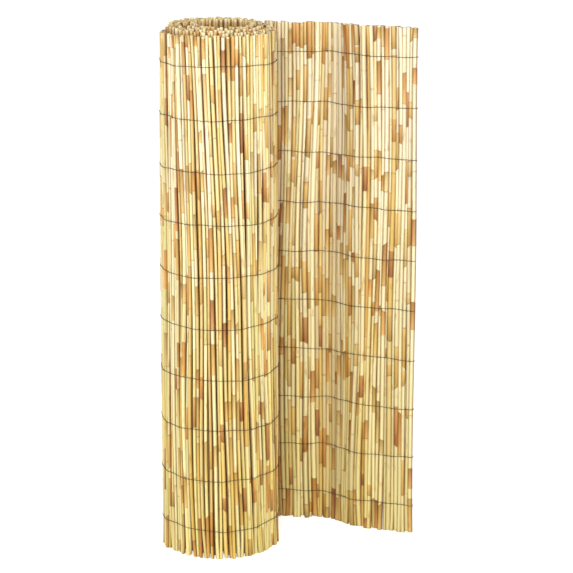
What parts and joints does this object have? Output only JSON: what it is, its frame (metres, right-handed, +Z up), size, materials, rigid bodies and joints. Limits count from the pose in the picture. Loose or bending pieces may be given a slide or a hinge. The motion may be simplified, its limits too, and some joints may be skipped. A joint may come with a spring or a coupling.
{
  "type": "reed screen",
  "caption": "Reed screen for a fence or for shade: a mat of thin upright reeds bound by rows of wire, rolled up and standing on end with its last stretch unrolled.",
  "frame": {"origin": "on the floor, at the middle of the outline of the whole screen", "axes": "+Z up along the reeds, -Y towards the front, +X to the flap's free edge"},
  "size_m": [0.4876, 0.2788, 1.0139],
  "materials": {
    "reed": "dry reed, satin with dull sheaths",
    "wire": "dull and weathered"
  },
  "bodies": {
    "root": {"reed_mat": "reed", "wire_outer_01": "wire", "wire_outer_02": "wire", "wire_outer_03": "wire", "wire_outer_04": "wire", "wire_outer_05": "wire", "wire_outer_06": "wire", "wire_outer_07": "wire", "wire_outer_08": "wire", "wire_outer_09": "wire", "wire_outer_10": "wire", "wire_inner_01": "wire", "wire_inner_02": "wire", "wire_inner_03": "wire", "wire_inner_04": "wire", "wire_inner_05": "wire", "wire_inner_06": "wire", "wire_inner_07": "wire", "wire_inner_08": "wire", "wire_inner_09": "wire", "wire_inner_10": "wire"}
  },
  "joints": []
}
